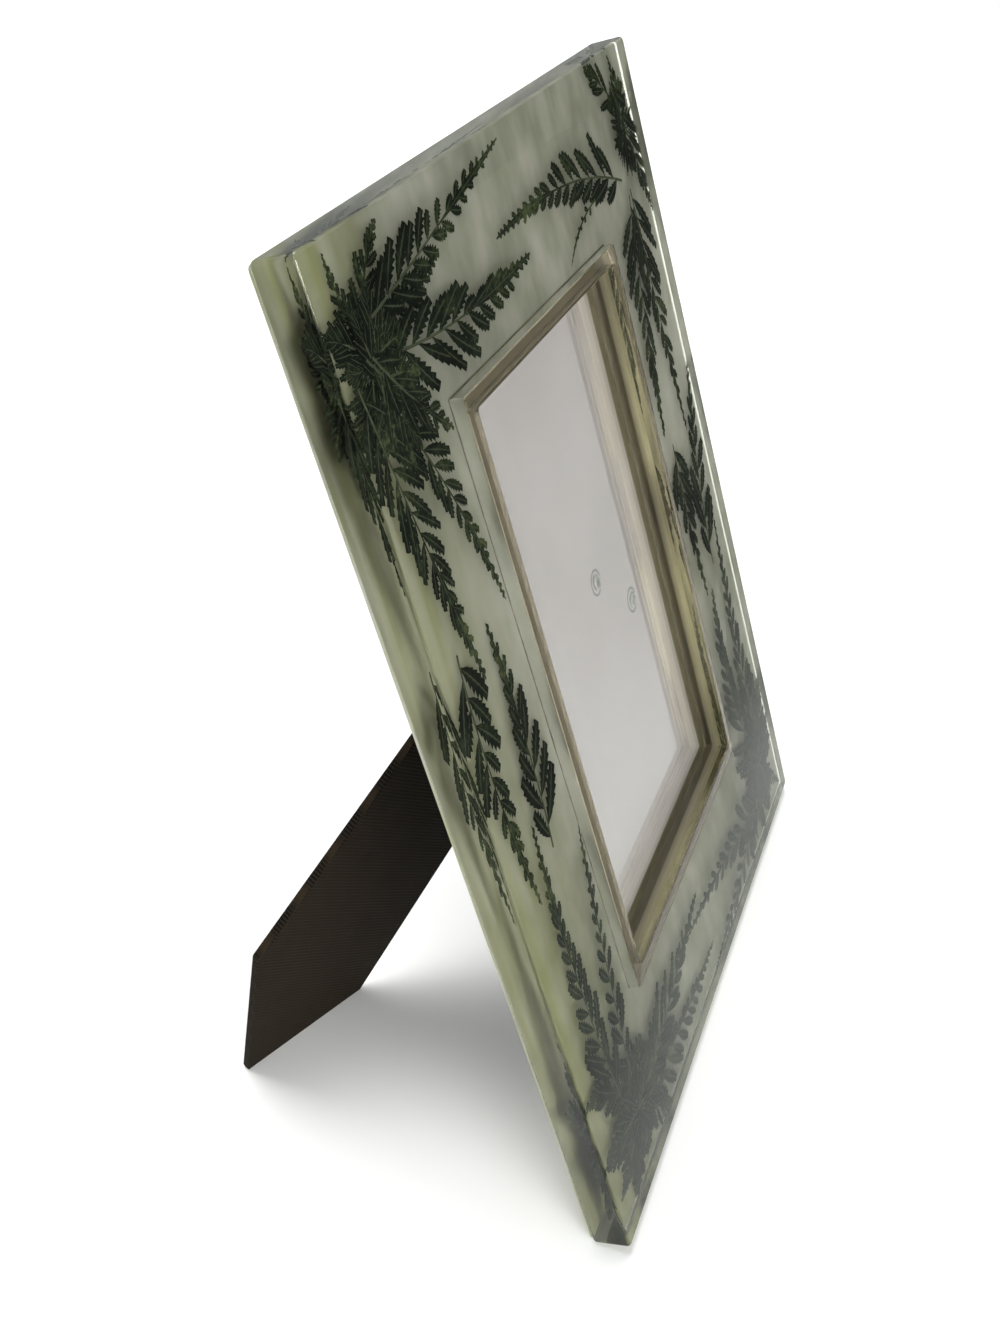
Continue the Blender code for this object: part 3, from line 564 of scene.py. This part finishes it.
# Pane of float glass behind the liner, 2 mm thick. It is all but colourless from the front, with
# the grey-green edge of plain glass and a little dust.
glass = new_material("float_glass", IOR=1.52, Transmission_Weight=1.0,
                     Base_Color=linear("#f3f7f4"))
dust = noise(glass, object_place(glass), 18 * MM, 4.0)
finish(glass, "Roughness", mapped(glass, dust, 0.45, 1.0, 0.0, 0.04))
dress(glass, "glass_pane")


# White lining card, stuck to the board to back the photograph: smooth uncoated paper with a
# faint warm cast, soft stains and a fine grain. A darker ring round each rivet is painted shade
# for a ring dented into the card, and a brown-grey border is painted shade under the liner's edge.
RIVETS = {"rivet_left": (6.45 * MM, 5.08 * MM), "rivet_right": (26.11 * MM, -10.84 * MM)}
RING_RADIUS, RING_HALF = 3.2 * MM, 0.35 * MM
card = new_material("white_lining_card", Roughness=0.8, IOR=1.45)
card_place = object_place(card, SLAB_AXES)
stain = noise(card, card_place, 45 * MM, 3.0)
paper = ramp(card, stain, [(0.3, "#d8cbc9"), (0.5, "#e2d4d4"), (0.7, "#e8dcdc")])
on_card = node(card, "ShaderNodeVectorMath", [(0, card_place)], [(1, (1, 0, 1))],
               operation="MULTIPLY").outputs[0]
nearest = [node(card, "ShaderNodeVectorMath", [(0, on_card)], [(1, (centre[0], 0, centre[1]))],
                operation="DISTANCE").outputs["Value"] for centre in RIVETS.values()]
# A darker ring round each rivet: painted shade standing in for a ring dented into the card.
ring_shade_mask = combine(card, "COMPARE", combine(card, "MINIMUM", *nearest), RING_RADIUS, RING_HALF)
paper_with_ring_shade = tinted(card, ring_shade_mask, paper, "#a59c99")
from_middle = node(card, "ShaderNodeVectorMath", [(0, card_place)],
                   operation="ABSOLUTE").outputs[0]
beyond = node(card, "ShaderNodeVectorMath", [(0, from_middle)],
              [(1, (LINER_HALF[0], 0, LINER_HALF[1]))], operation="SUBTRACT").outputs[0]
beyond_axes = node(card, "ShaderNodeSeparateXYZ", [("Vector", beyond)])
farthest = combine(card, "MAXIMUM", beyond_axes.outputs["X"], beyond_axes.outputs["Z"])
# Past the liner's inner outline the card turns brown-grey: painted shade for the shadow under the
# liner.
border_shade_mask = mapped(card, farthest, -0.1 * MM, 0.5 * MM)
finish(card, "Base Color", tinted(card, border_shade_mask, paper_with_ring_shade, "#93866e"))
bump(card, noise(card, card_place, 0.7 * MM, 2.0), 0.03 * MM)
dress(card, "white_lining")


# Hollow steel rivets through the card, the board and the hinge: bright nickel with turned-over
# rims, a little dulled.
rivet = new_material("nickelled_steel", Metallic=1.0, Base_Color=linear("#cfccc6"))
wear = noise(rivet, object_place(rivet), 1.2 * MM, 3.0)
finish(rivet, "Roughness", mapped(rivet, wear, 0.0, 1.0, 0.25, 0.5))
dress(rivet, "hinge_pin")
# The rivet's profile as radius and depth in mm: sunk cup, rolled rim, shank and flat back head.
roll = np.radians(np.linspace(-180, 60, 13))
rolled = np.stack([1.72 + 0.42 * np.cos(roll), 9.92 + 0.42 * np.sin(roll)], axis=1)
rivet_profile = np.concatenate([
    [(0.0, 11.2), (1.0, 11.15), (1.24, 10.9)], rolled,
    [(1.5, 10.28), (1.5, 14.9), (2.5, 14.9), (2.6, 15.05), (2.3, 15.38), (0.0, 15.42)]]) * MM


def turned_mesh(name, profile, centre, steps=40):
    """Turns a profile of radius and depth about an axis that runs straight back from centre."""
    angle = np.arange(steps) / steps * 2 * math.pi
    points = np.empty((len(profile), steps, 3))
    points[..., 0] = centre[0] + profile[:, :1] * np.cos(angle)
    points[..., 1] = profile[:, 1:]
    points[..., 2] = centre[1] + profile[:, :1] * np.sin(angle)
    mesh = surface(name, points, False, True)
    shape = bmesh.new()
    shape.from_mesh(mesh)
    bmesh.ops.remove_doubles(shape, verts=shape.verts, dist=1e-6)
    shape.to_mesh(mesh)
    shape.free()
    return mesh


for name, centre in RIVETS.items():
    mesh = turned_mesh(name + "_turned", rivet_profile, centre)
    piece(mesh, rivet, "frame", (name,))


# Backing board and strut: grey board wrapped in black bookcloth. The linen threads lie 1 mm
# apart; their colour is a brown painted highlight where they rise and painted shade between them.
HINGE_AXES = (Matrix.Translation((-2.3 * MM, 16.0 * MM, 1.2 * MM))
              @ Matrix.Rotation(math.radians(39.0), 4, "Y"))
STRUT_AXES = HINGE_AXES @ Matrix.Rotation(math.radians(37.3), 4, "X")
THREAD = 1.0 * MM


def bookcloth(name, axes):
    """Plain weave: warp and weft waves cross, and whichever is higher at a point shows."""
    cloth = new_material(name, Roughness=0.9, IOR=1.4, Specular_IOR_Level=0.2)
    place = object_place(cloth, axes)
    uneven = mapped(cloth, noise(cloth, place, 8 * MM), 0.0, 1.0, 0.75, 1.0)
    waves = []
    for direction in ("X", "Z"):
        waves.append(node(cloth, "ShaderNodeTexWave", [("Vector", place)],
                          [("Scale", math.pi / 10 / THREAD), ("Distortion", 0.6),
                           ("Detail", 1.0), ("Detail Scale", 0.5)],
                          bands_direction=direction).outputs["Fac"])
    weave = combine(cloth, "MAXIMUM", *waves)
    # The weave's height, times an uneven tone, paints the colour: brown painted highlight on the
    # rises, painted shade between.
    painted_thread_light_uneven = combine(cloth, "MULTIPLY", weave, uneven)
    finish(cloth, "Base Color", ramp(cloth, painted_thread_light_uneven, [(0.2, "#050504"), (0.5, "#120e0a"),
                                                   (0.85, "#271f14")]))
    bump(cloth, weave, 0.10 * MM)
    return cloth


dress(bookcloth("black_bookcloth_board", SLAB_AXES), "backing_board")
dress(bookcloth("black_bookcloth_strut", SLAB_AXES @ STRUT_AXES), "strut")


# Hinge leaves: steel strip rolled round the pin, black lacquered, rubbed at the edges.
lacquer = new_material("black_lacquered_steel", Metallic=0.0, IOR=1.5)
rub = noise(lacquer, object_place(lacquer), 3 * MM, 4.0)
finish(lacquer, "Base Color", ramp(lacquer, rub, [(0.35, "#121314"), (0.75, "#26272a")]))
finish(lacquer, "Roughness", mapped(lacquer, rub, 0.0, 1.0, 0.25, 0.55))
dress(lacquer, "hinge_plate", "strut_leaf")


# The setting: a pale table, soft light from two large panels, and a plain pale room. None of it
# belongs to the object.
TABLE_COLOUR = "#f4f4f2"
LEFT, FRONT, RIGHT, BACK = -3, -3, 6, 5


def sheet(name, corners, faces, material):
    """A thin sheet given by its corners, in metres, and its faces."""
    mesh = bpy.data.meshes.new(name)
    mesh.from_pydata(corners, [], faces)
    mesh.materials.append(material)
    return placed(name, mesh)


table_material = new_material("pale_table", Roughness=0.9, Base_Color=linear(TABLE_COLOUR))
table = sheet("pale_table", [(LEFT, FRONT, 0), (RIGHT, FRONT, 0), (RIGHT, BACK, 0),
                             (LEFT, BACK, 0)], [(0, 1, 2, 3)], table_material)
bpy.context.scene.view_settings.view_transform = "Standard"

world = bpy.data.worlds.new("pale_room")
world.use_nodes = True
bpy.context.scene.world = world
heading = node(world, "ShaderNodeTexCoord").outputs["Generated"]
height = node(world, "ShaderNodeSeparateXYZ", [("Vector", heading)]).outputs["Z"]
sky = ramp(world, height, [(0.0, "#bcbfbd"), (0.12, "#c6c9c8"), (0.45, "#dadddf"),
                           (1.0, "#f0f3f5")])
finish(world, "Color", sky, "Background")
world.node_tree.nodes["Background"].inputs["Strength"].default_value = 0.6


def soft_panel(name, place, target, sides, power, spread):
    """A rectangular light panel that faces a point; sides in metres, power in watts and the
    spread of its light in degrees.
    """
    lamp = bpy.data.lights.new(name, "AREA")
    lamp.shape = "RECTANGLE"
    lamp.size, lamp.size_y = sides
    lamp.energy, lamp.spread = power, math.radians(spread)
    holder = placed(name, lamp)
    holder.location = place
    holder.rotation_euler = (Vector(target) - Vector(place)).to_track_quat("-Z", "Y").to_euler()


soft_panel("soft_key", (-0.95, -1.1, 0.48), (0, 0, 0.12), (1.0, 0.4), 3.5, 60.0)
soft_panel("table_light", (0.7, 0.85, 1.9), (0.7, 0.65, 0), (2.0, 2.0), 24.0, 100.0)

# A dark cloth laid on the table in front and to the left and hung beyond it, which only mirrored
# light sees, as is done when glass is photographed: without it the gloss would mirror the pale
# table over the leaves. It pales to the table's own colour towards the frame.
CLOTH_LIFT, CLOTH_TOP = 0.0005, 1.5
# Where the cloth is fully dark and where it ends, towards the back and towards the right.
DARK_FRONT, PALE_FRONT, DARK_LEFT, PALE_LEFT = -0.16, -0.03, -0.26, -0.12
cloth_material = new_material("dark_table_cloth", Roughness=0.9)
cloth_axes = node(cloth_material, "ShaderNodeSeparateXYZ",
                  [("Vector", object_place(cloth_material))])
nearness = [mapped(cloth_material, cloth_axes.outputs["Y"], DARK_FRONT, PALE_FRONT),
            mapped(cloth_material, cloth_axes.outputs["X"], DARK_LEFT, PALE_LEFT)]
finish(cloth_material, "Base Color",
       ramp(cloth_material, combine(cloth_material, "MINIMUM", *nearness),
            [(0.0, "#1c1d1b"), (0.5, "#80827e"), (1.0, TABLE_COLOUR)]))
laid = [(LEFT, FRONT), (RIGHT, FRONT), (RIGHT, PALE_FRONT), (PALE_LEFT, PALE_FRONT),
        (PALE_LEFT, BACK), (LEFT, BACK)]
hung = [(LEFT, FRONT), (RIGHT, FRONT), (RIGHT, PALE_FRONT)]
cloth_sheet = sheet("dark_table_cloth",
                    [(*flat, CLOTH_LIFT) for flat in laid] + [(*flat, CLOTH_TOP) for flat in hung],
                    [(0, 1, 2, 3), (0, 3, 4, 5), (0, 6, 7, 1), (1, 7, 8, 2)], cloth_material)
for kind in ("camera", "diffuse", "transmission", "volume_scatter", "shadow"):
    setattr(cloth_sheet, "visible_" + kind, False)


# The camera stands where the photograph was taken: left of the frame, above it and close to it.
camera_data = bpy.data.cameras.new("photo_view")
camera_data.sensor_width, camera_data.lens = 36.0, 39.41
camera_data.clip_start = 0.01
camera = placed("photo_view", camera_data)
camera.matrix_world = SLAB_AXES @ Matrix((
    (0.34716, 0.52304, -0.77840, -0.3009),
    (-0.89891, -0.05096, -0.43515, -0.1290),
    (-0.26727, 0.85078, 0.45248, 0.1608),
    (0, 0, 0, 1)))
bpy.context.scene.camera = camera
